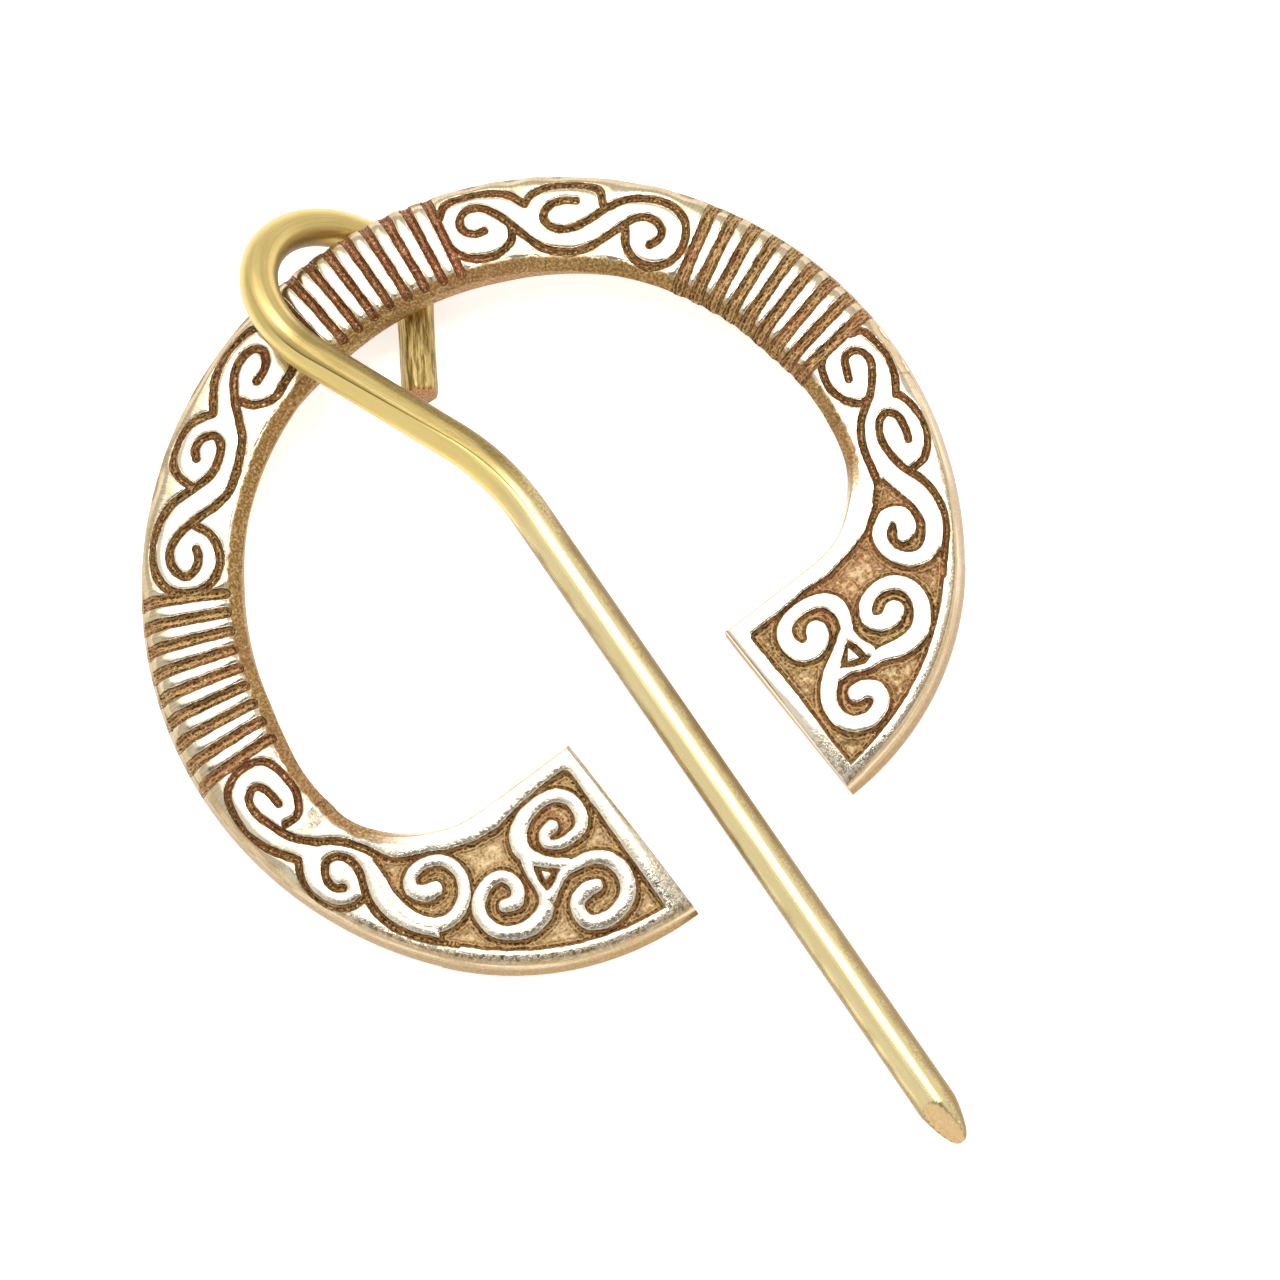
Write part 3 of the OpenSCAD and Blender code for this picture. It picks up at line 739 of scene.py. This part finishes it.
def wire_radius(a, l, total, rolled):
    """The wire's radius at each angle and length, how coarsely it was filed there, and where it is the point."""
    radius = WIRE_R * (1 + uneven("drawn_wire", l, WIRE_R * a))
    # The hook end was cut and dressed with a coarse file, lengthwise
    coarse = over("hook_filed", l)
    furrows = uneven("file_furrows", np.cos(a), np.sin(a)) + uneven("file_steps", l, STEPS_FINER * np.cos(a))
    radius -= coarse * (HOOK_LOSS + furrows)
    for start, end, fade, turn, level in FLATS:
        on = ramp(start, start + fade, l) * ramp(end, end - fade, l)
        radius -= on * np.clip(radius - flat_at(np.cos(a - rad(turn)), level, 0.3), 0, 1)
    radius -= BEVEL * over("sawn_bevel", l)
    length, power, least = POINT_ROUND
    radius *= np.clip((total - l) / length, least, 1) ** power
    turn, slope, left = POINT_FACE
    face = flat_at(-np.cos(a - rad(rolled + turn)), left + (total - l) * math.tan(rad(slope)), 0.05)
    return np.minimum(radius, face), coarse, np.where(face < radius, 1.0, 0.0)


def pin_piece(gap, around):
    """The wire, swept from its sawn hook end round the eye to the filed point."""
    place, rolled = pin_frames(gap)
    middle = place[:, :3, 3]
    along = lengths(middle)
    total = along[-1]
    a, l = np.meshgrid(np.linspace(0, 2 * math.pi, around, endpoint=False), along)
    radius, coarse, filed = wire_radius(a, l, total, rolled)
    ring = np.stack([np.cos(a), np.sin(a)], -1)
    outward = np.einsum("nij,nkj->nki", place[:, :3, :2], ring)
    verts = (middle[:, None] + radius[..., None] * outward).reshape(-1, 3)
    n, m = a.shape
    first, last = n * m, n * m + 1
    faces = tube_faces(n, m).tolist()
    faces += [[first, (j + 1) % m, j] for j in range(m)]
    faces += [[last, (n - 1) * m + j, (n - 1) * m + (j + 1) % m] for j in range(m)]
    # One side of the shank was left as drawn, the rest was wiped smooth
    facing = np.cos(a - rad(rolled + SCUFF_TURN))
    scuffed = over("scuffed", facing + uneven("scuff_edge", l, a)) * over("scuffs_start", l)
    # Painted shade: the flanks and underside are darkened and made duller, the top is left bright
    on_shank = over("on_shank", l)
    bare, fully_dull_and_shaded = (neck + (shank - neck) * on_shank for neck, shank in zip(DULL_AND_PAINTED_SHADE_NECK, DULL_AND_PAINTED_SHADE_SHANK))
    dull_and_painted_shade = ramp(bare, fully_dull_and_shaded, outward @ np.array(PAINTED_LIGHT_FROM) + uneven("dull_and_painted_shade_edge", l, DULL_AND_PAINTED_SHADE_FINER * a))
    wire = np.dstack([WIRE_R * ring, l]).reshape(-1, 3)
    # The last two points close the sawn end and the point
    values = {
        "scuffed": np.append(scuffed, [0, 0]),
        "filed": np.append(filed, [0, 1]),
        "sawn": np.append(over("sawn", l), [1, 0]),
        "coarse": np.append(coarse, [1, 0]),
        "dull_and_painted_shade": np.append(dull_and_painted_shade, [0, 0]),
        "wire_place": np.vstack([wire, [0, 0, 0], [0, 0, total]]),
    }
    verts = np.vstack([verts, middle[0], middle[-1]]) * MM
    return mesh_piece("pin_wire", verts, faces, values, WIRE_SHARP)


# ---- materials ----
def colour(code):
    """An sRGB hex colour as linear RGBA."""
    parts = [int(code[i : i + 2], 16) / 255 for i in (0, 2, 4)]
    return tuple(c / 12.92 if c <= 0.04045 else ((c + 0.055) / 1.055) ** 2.4 for c in parts) + (1.0,)


def add(tree, kind, settings=None, links=None):
    """Adds a shader node, sets its settings, and fills or links its inputs, by name or by number."""
    node = tree.nodes.new("ShaderNode" + kind)
    for key, value in (settings or {}).items():
        setattr(node, key, value)
    for key, value in (links or {}).items():
        socket = node.inputs[key]
        if isinstance(value, bpy.types.NodeSocket):
            tree.links.new(value, socket)
        else:
            socket.default_value = value
    return node


def new_material(name):
    mat = bpy.data.materials.new(name)
    mat.use_nodes = True
    mat.node_tree.nodes.clear()
    return mat, mat.node_tree


def mix(t, factor, *tones):
    """Colour mix of two tones, each a hex code or a link; a Mix node's colours are its inputs 6 and 7."""
    first, second = (colour(tone) if isinstance(tone, str) else tone for tone in tones)
    return add(t, "Mix", {"data_type": "RGBA"}, {0: factor, 6: first, 7: second}).outputs[2]


def number_mix(t, factor, first, second):
    return add(t, "Mix", {"data_type": "FLOAT"}, {0: factor, 2: first, 3: second}).outputs[0]


def maths(t, kind, *values):
    return add(t, "Math", {"operation": kind}, dict(enumerate(values))).outputs[0]


def times(t, a, b):
    return maths(t, "MULTIPLY", a, b)


def the_more(t, a, b):
    return maths(t, "MAXIMUM", a, b)


def rest_of(t, a):
    return maths(t, "SUBTRACT", 1.0, a)


def layered(t, base, *coats):
    """The base with tones laid over it in turn, each by a mask, at most by an amount."""
    for mask, amount, tone in coats:
        base = mix(t, times(t, mask, amount), base, tone)
    return base


def share(t, value, start, end, low=0.0, high=1.0):
    """Low where the value is at start, high where it is at end, smooth between."""
    bounds = {"Value": value, "From Min": start, "From Max": end, "To Min": low, "To Max": high}
    return add(t, "MapRange", {"interpolation_type": "SMOOTHSTEP"}, bounds).outputs["Result"]


def noise(t, where, scale, detail, roughness):
    links = {"Vector": where, "Scale": scale, "Detail": detail, "Roughness": roughness}
    return add(t, "TexNoise", None, links).outputs["Fac"]


def stretched(t, where, scales, detail, roughness, turn=0.0):
    """Noise with its own scale each way, turned about z."""
    at = add(t, "Mapping", None, {"Vector": where, "Rotation": (0, 0, turn), "Scale": scales})
    return noise(t, at.outputs[0], 1.0, detail, roughness)


def vector_maths(t, kind, *values):
    return add(t, "VectorMath", {"operation": kind}, dict(enumerate(values))).outputs


def carried(t, name, output="Fac"):
    """A value that the mesh carries at its points."""
    return add(t, "Attribute", {"attribute_name": name}).outputs[output]


def finish(t, look, height=None, strength=0.0):
    """Closes a material with its bump, 0.08 mm at full strength, and its shader."""
    if height is not None:
        bump = {"Height": height, "Strength": strength, "Distance": 0.00008}
        look["Normal"] = add(t, "Bump", None, bump).outputs[0]
    shader = add(t, "BsdfPrincipled", None, look)
    add(t, "OutputMaterial", None, {"Surface": shader.outputs[0]})


# The bronze's patterns in spots to the metre: grains of 0.17 mm, clumps of 0.45, stains of 3, tinges of 9 and
# the wheel's mottling of 0.4
GRAINS, CLUMPS, STAINS, TINGES, MOTTLES = 6000.0, 2200.0, 330.0, 110.0, 2600.0
# Those with a length: cuts 0.12 by 0.6 mm, brushing 0.12 by 1, scratches 0.11 by 1.1
HATCH, BRUSH, SCRATCH = (8000.0, 1700.0, 1700.0), (8000.0, 1000.0, 1.0), (9000.0, 900.0, 900.0)
HATCH_TURN, SCRATCH_TURN = -0.4, 0.6
# The belt's lines: spots to the metre along the rim, and to the mm down it
BELT_ALONG, BELT_DOWN = 160.0, 7.0
# A groove's edge is ragged by so many mm; the graver's lines, bumps painted light gold as a painted highlight along
# a groove's floor: radians to the mm, how far the clumps shift them
EDGE_RAGGED = 0.1
GRAVER_AND_PAINTED_HIGHLIGHT, GRAVER_AND_PAINTED_HIGHLIGHT_SHIFT = 25.0, (4.4, 2.5)


def cast_bronze():
    """Sand-cast bronze, its top ground and buffed bright, the carving left brown from the mould.

    Buffed bronze is pale and slightly pink, with fine short scratches. Towards the band's edges the lands
    carry brush lines under a painted beige shade; the rim's rounded shoulder, its edge, the outer wall and the
    back are darkened by painted shade, with the belt's lines along the rim. Round the terminals' outer corners,
    by the gap, along their rims and all over the leant left one, the wheel's mottling lies under painted grey
    that stands for dark reflections, darkest brown on the rims. The grooves and sunk fields keep the skin of the
    casting: matte, grainy and brown, with painted shade along their walls, light gold lines painted as a
    highlight along their floors, and painted glints on random grains. The hole's wall was never ground."""
    mat, t = new_material("cast_bronze_buffed_top")
    where = add(t, "TexCoord").outputs["Object"]
    groove, skin, down, marks_and_painted_grey, ruddy, brushed_and_painted_shade = (carried(t, key) for key in FINISHES)
    grain = noise(t, where, GRAINS, 2.0, 0.6)
    clump = noise(t, where, CLUMPS, 3.0, 0.6)
    stain = noise(t, where, STAINS, 3.0, 0.55)
    tinge = noise(t, where, TINGES, 2.0, 0.5)
    pits = share(t, grain, 0.43, 0.57)
    lumps = share(t, clump, 0.38, 0.62)
    coppery = times(t, share(t, tinge, 0.42, 0.6), share(t, stain, 0.35, 0.6))
    painted_glints = times(t, share(t, grain, 0.56, 0.66), lumps)
    shade = times(t, share(t, grain, 0.46, 0.36), share(t, clump, 0.62, 0.4))

    # The carving, by mm out of a groove's edge: the cut, its wall darkened with painted shade, the sunk field's
    # floor
    edge = maths(t, "MULTIPLY_ADD", clump, EDGE_RAGGED, maths(t, "SUBTRACT", groove, EDGE_RAGGED / 2))
    cut = share(t, edge, 0.03, -0.04)
    wall = share(t, maths(t, "ABSOLUTE", maths(t, "ADD", edge, 0.055)), 0.11, 0.01)
    wall = times(t, wall, share(t, clump, 0.36, 0.56))
    field = share(t, edge, -0.35, -0.8)
    leant = share(t, marks_and_painted_grey, 0.15, 0.3)
    along = maths(t, "MULTIPLY_ADD", edge, GRAVER_AND_PAINTED_HIGHLIGHT, maths(t, "MULTIPLY_ADD", clump, *GRAVER_AND_PAINTED_HIGHLIGHT_SHIFT))
    lines = times(t, share(t, maths(t, "SINE", along), -0.5, 0.9), rest_of(t, field))
    hatch = share(t, stretched(t, where, HATCH, 3.0, 0.6, HATCH_TURN), 0.48, 0.6)
    brown = layered(
        t, mix(t, pits, "4C3012", "A67A3E"),
        # painted highlight: light gold lines along the grooves' floors, on the graver's bumps
        (lines, 0.7, "D8B47C"),
        (ruddy, 0.5, mix(t, lumps, "7E3F28", "B4694A")),
        (field, 0.55, "D2B078"),
        (times(t, field, hatch), 0.6, "6E4E22"),
        (times(t, field, share(t, clump, 0.48, 0.62)), 0.7, "ECD4A4"),
        (times(t, field, leant), 0.4, "ECCB9C"),
        (coppery, 0.3, "B4684C"),
        (shade, 0.6, "3C2810"),
        # painted glints on random grains
        (painted_glints, 0.75, "EBD4A2"),
        # painted shade along the grooves' walls, less on the leant terminal
        (wall, number_mix(t, leant, 0.95, 0.6), "452C10"),
    )
    rough_skin = layered(
        t, mix(t, pits, "80602F", "B8925A"),
        # painted glints on random grains, among the skin's own tones
        (lumps, 0.35, "A88752"), (painted_glints, 0.6, "E2CB9C"), (coppery, 0.25, "A9745A"),
    )

    # The lands: the belt's lines along the rim, with painted shade on the rim's shoulder, its edge, the outer wall
    # and the back; brushing under painted beige shade across the band; mottling from the wheel under painted grey
    # that stands for dark reflections
    belt_at = vector_maths(t, "MULTIPLY", where, (BELT_ALONG,) * 3)[0]
    belt_down = add(t, "CombineXYZ", None, {2: times(t, down, BELT_DOWN)}).outputs[0]
    belt = share(t, noise(t, vector_maths(t, "ADD", belt_at, belt_down)[0], 1.0, 3.0, 0.6), 0.4, 0.62)
    on_rim = share(t, down, -0.95, -0.35)
    plan = add(t, "SeparateXYZ", None, {0: where}).outputs
    arc = times(t, maths(t, "ARCTAN2", plan[0], plan[1]), BAND_MID * MM)
    out = vector_maths(t, "LENGTH", where)["Value"]
    polar = add(t, "CombineXYZ", None, {0: arc, 1: out}).outputs[0]
    brush = share(t, stretched(t, polar, BRUSH, 3.0, 0.6), 0.4, 0.62, 0.6, 1.0)
    mottle = share(t, noise(t, where, MOTTLES, 4.0, 0.7), 0.42, 0.58)
    buffed = layered(
        t, colour("F0E5D0"),
        (share(t, stain, 0.42, 0.62), 0.5, "E6D6B8"),
        # painted shade on the rim's rounded shoulder, over the belt's lines
        (on_rim, 0.75, mix(t, belt, "A88E60", "EBDDBE")),
        # painted shade on the rim's edge, the outer wall and the back
        (share(t, down, -0.25, 0.3), 0.9, "987A4E"),
        # painted beige shade towards the band's edges, broken up by the brushing
        (brushed_and_painted_shade, brush, "C2AE88"),
        # painted grey that stands for dark reflections, broken up by the wheel's mottling, darker brown on the rims
        (maths(t, "POWER", marks_and_painted_grey, 2.0), 0.85, mix(t, mottle, "7C6C56", "D6CAB6")),
        (times(t, on_rim, share(t, marks_and_painted_grey, 0.1, 0.35)), 0.5, "7E6238"),
    )

    base = mix(t, cut, mix(t, skin, buffed, rough_skin), brown)
    matte = the_more(t, cut, skin)
    scratch = stretched(t, where, SCRATCH, 2.0, 0.5, SCRATCH_TURN)
    rough = number_mix(t, matte, share(t, scratch, 0.3, 0.7, 0.14, 0.26), 0.5)
    height = times(t, grain, number_mix(t, matte, 0.05, 1.0))
    height = maths(t, "MULTIPLY_ADD", lines, times(t, cut, 0.5), height)
    height = maths(t, "MULTIPLY_ADD", scratch, 0.08, height)
    height = maths(t, "MULTIPLY_ADD", mottle, times(t, marks_and_painted_grey, 0.36), height)
    look = {"Base Color": base, "Metallic": number_mix(t, matte, 1.0, 0.7), "Roughness": rough}
    finish(t, look, height, 0.8)
    return mat


# The wire's patterns in spots to the mm: draw lines of 0.14 mm, filings of 0.2, stains of 2, grit of 0.17
DRAWN, FILINGS = (7.0, 7.0, 0.12), (5.0, 5.0, 0.5)
WIRE_STAINS, GRIT = 0.5, 6.0


def drawn_brass():
    """Brass wire as it comes from the draw plate: yellow, with fine lines along its length.

    The shank was buffed and lacquered, so it is pale; its flanks and underside get painted shade, dull brown
    and less metallic, and its top is left bright. The neck was dressed to a satin, with one deeper draw line; on
    one side of the line it gets painted olive shade, elsewhere a painted light tone. The point's flat shows bare
    brass, and the hook end is coarsely filed, with a reddish sawn face."""
    mat, t = new_material("drawn_brass_wire")
    place = carried(t, "wire_place", "Vector")
    filed, sawn, coarse, scuffed, dull_and_painted_shade = (carried(t, key) for key in ("filed", "sawn", "coarse", "scuffed", "dull_and_painted_shade"))
    round_x, round_y, length = add(t, "SeparateXYZ", None, {0: place}).outputs
    reach = {key: share(t, length, *ends) for key, ends in ALONG.items()}
    drawn = stretched(t, place, DRAWN, 3.0, 0.6)
    filings = stretched(t, place, FILINGS, 4.0, 0.7)
    stain = noise(t, place, WIRE_STAINS, 3.0, 0.5)
    grit = noise(t, place, GRIT, 3.0, 0.7)
    streak = share(t, drawn, 0.35, 0.65)
    # The filed flat's dark burr
    burr = times(t, share(t, filed, 0.1, 0.4), share(t, filed, 0.9, 0.6))
    # The deep line drifts round the neck; on one side of it, in radians from the line, the neck gets painted olive
    # shade, elsewhere a painted light tone
    turn = maths(t, "ARCTAN2", round_y, round_x)
    line_turn = maths(t, "MULTIPLY_ADD", length, rad(LINE_DRIFT), rad(LINE_ANGLE))
    from_line = maths(t, "SUBTRACT", turn, line_turn)
    line = times(t, share(t, maths(t, "ABSOLUTE", from_line), 0.05, 0.015),
                 times(t, reach["neck_from"], reach["line_to"]))
    painted_shade_side = times(t, share(t, from_line, 0.03, -0.06), share(t, from_line, -2.6, -2.1))
    satin = times(t, reach["neck_from"], reach["neck_to"])
    base = layered(
        t, mix(t, streak, "D9BF78", "E8D294"),
        (share(t, stain, 0.4, 0.65), 0.25, "CDB068"),
        (reach["shank_from"], 0.55, "F6E4AC"),
        (reach["eye_deep_to"], 0.4, "C0A45C"),
        (share(t, drawn, 0.66, 0.74), 0.5, "9A8448"),
        # painted shade on the wire's flanks and underside
        (dull_and_painted_shade, 0.9, mix(t, share(t, grit, 0.35, 0.6), "644A1E", "96763A")),
        (times(t, scuffed, share(t, grit, 0.38, 0.6)), 0.6, "8E6A34"),
        (filed, 0.85, mix(t, share(t, grit, 0.4, 0.62), "E2B87C", "F0CE96")),
        (coarse, 0.9, mix(t, share(t, filings, 0.4, 0.6), "6E5728", "D2B878")),
        (sawn, 0.9, mix(t, share(t, grit, 0.4, 0.6), "6E4222", "C08A58")),
        (burr, 0.4, "7A5C2C"),
        # painted light on the neck away from its shaded side, then painted olive shade on that side
        (times(t, satin, rest_of(t, painted_shade_side)), 0.7, "F2DA8C"),
        (times(t, satin, painted_shade_side), 0.65, "806C3A"),
        (line, 0.85, "5E4A20"),
    )
    # How far the smooth drawn skin is gone
    bare = the_more(t, the_more(t, filed, coarse), the_more(t, times(t, scuffed, 0.8), times(t, satin, 0.9)))
    bare = the_more(t, bare, times(t, times(t, reach["eye_from"], reach["eye_to"]), 0.45))
    rough = number_mix(t, bare, share(t, streak, 0.0, 1.0, 0.24, 0.32), 0.45)
    height = maths(t, "MULTIPLY_ADD", grit, number_mix(t, bare, 0.08, 0.5), times(t, drawn, 0.3))
    height = maths(t, "MULTIPLY_ADD", filings, times(t, coarse, 1.2), height)
    look = {"Base Color": base, "Metallic": number_mix(t, dull_and_painted_shade, 1.0, 0.35), "Roughness": rough}
    look["Coat Weight"] = times(t, reach["shank_from"], rest_of(t, dull_and_painted_shade))
    look.update({"Coat Roughness": 0.36, "Coat IOR": 1.5})
    finish(t, look, height, 0.5)
    return mat


def white_table():
    """Opal sheet under the brooch, matte white and faintly lit from below, which keeps its shadow pale."""
    mat, t = new_material("opal_sheet")
    where = add(t, "TexCoord").outputs["Object"]
    tone = mix(t, noise(t, where, 900.0, 4.0, 0.5), "F7F7F6", "FDFDFC")
    finish(t, {"Base Color": tone, "Roughness": 0.9, "Emission Color": tone, "Emission Strength": 0.62})
    return mat


# ---- the pieces ----
# Columns along and points across a stretch of the hoop; mm between the wire's rings and points round it
head_grid, side_grid, wire_grid = (860, 94), (500, 170), (0.25, 48)
lines = carved_lines()
arms = {side: [smooth_rows(rows) for rows in ARMS[side].values()] for side in ARMS}
bronze = cast_bronze()
brass = drawn_brass()
hoop_head = hoop_piece("hoop_head", columns_head(head_grid[0]), head_grid[1], 0, lines, [])
hoop_right = hoop_piece("hoop_right_arm", columns_side(side_grid[0], 1), side_grid[1], 1, lines, arms[1])
hoop_left = hoop_piece("hoop_left_arm", columns_side(side_grid[0], -1), side_grid[1], -1, lines, arms[-1])
pin_wire = pin_piece(*wire_grid)
for obj, mat, body, name in (
    (hoop_head, bronze, "hoop", "cast_bronze"),
    (hoop_right, bronze, "hoop", "cast_bronze"),
    (hoop_left, bronze, "hoop", "cast_bronze"),
    (pin_wire, brass, "pin", "drawn_brass_wire"),
):
    obj.data.materials.append(mat)
    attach(obj, body)
    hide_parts(body)

# ---- table, light and camera ----
TABLE_HALF = 1.5
table = in_scene("table", bpy.data.meshes.new("table"))
corners = [(x * TABLE_HALF, y * TABLE_HALF, 0) for x, y in ((-1, -1), (1, -1), (1, 1), (-1, 1))]
table.data.from_pydata(corners, [], [(0, 1, 2, 3)])
table.data.materials.append(white_table())


def softbox(name, place, width, depth, radiance):
    """A soft rectangular light facing down, in metres; its power follows from its radiance."""
    data = bpy.data.lights.new(name, "AREA")
    data.shape = "RECTANGLE"
    data.size, data.size_y, data.energy = width, depth, radiance * math.pi * width * depth
    in_scene(name, data).location = place


def light_tent(toward_lens, lit, opening, wide, narrow):
    """White light from all round, dimmer round the opening that the lens looks in through."""
    world = bpy.data.worlds.new("light_tent")
    bpy.context.scene.world = world
    world.use_nodes = True
    t = world.node_tree
    t.nodes.clear()
    direction = add(t, "TexCoord").outputs["Generated"]
    cosine = vector_maths(t, "DOT_PRODUCT", direction, toward_lens)["Value"]
    strength = share(t, cosine, math.cos(rad(wide)), math.cos(rad(narrow)), lit, opening)
    sky = add(t, "Background", None, {"Color": colour("FFFFFF"), "Strength": strength})
    add(t, "OutputWorld", None, {"Surface": sky.outputs[0]})


softbox("overhead_softbox", place=(0.04, 0.26, 0.44), width=0.34, depth=0.58, radiance=1.15)
softbox("near_softbox", place=(0.115, 0.045, 0.43), width=0.19, depth=0.15, radiance=6.0)
light_tent(toward_lens=(-0.08, -0.3, 0.95), lit=0.85, opening=0.2, wide=34.0, narrow=13.0)
bpy.context.scene.view_settings.view_transform = "Standard"

# The photographed view, in the hoop's own plane: lean and its direction, turn of the head, then distance in
# mm, pixels to the mm, and where the hoop's middle is in the frame of so many pixels
LEAN, LEAN_TO, HEAD_TO = 16.5, -67.0, 127.9
DISTANCE, SCALE, CENTRE = 320.0, 15.06, (550.3, 570.8)
FRAME = 1280
SENSOR = 36.0


def photo_camera():
    turn, lean = rad(HEAD_TO), rad(LEAN)
    flat = np.array([[math.sin(turn), math.cos(turn), 0], [-math.cos(turn), math.sin(turn), 0], [0, 0, 1]])
    k = np.array([math.cos(rad(LEAN_TO)), math.sin(rad(LEAN_TO)), 0])
    n = np.array([-k[1], k[0], 0])
    basis = np.array([n, k, [0, 0, 1]])
    tip = np.array([[1, 0, 0], [0, math.cos(lean), -math.sin(lean)], [0, math.sin(lean), math.cos(lean)]])
    right, up, back = basis.T @ tip @ basis @ flat
    focal = SCALE * DISTANCE
    look = -back * focal + right * (FRAME / 2 - CENTRE[0]) - up * (FRAME / 2 - CENTRE[1])
    look /= np.linalg.norm(look)
    side = right - look * (right @ look)
    side /= np.linalg.norm(side)
    turn_to = Matrix(np.stack([side, np.cross(side, look), -look], 1).tolist()).to_4x4()
    m = LAY @ Matrix.Translation(Vector(back) * DISTANCE) @ turn_to
    m.translation = m.translation * MM
    data = bpy.data.cameras.new("photo_camera")
    data.sensor_width = SENSOR
    data.lens = focal * SENSOR / FRAME
    data.clip_start, data.clip_end = 0.01, 10.0
    bpy.context.scene.camera = in_scene("photo_camera", data)
    bpy.context.scene.camera.matrix_world = m


photo_camera()
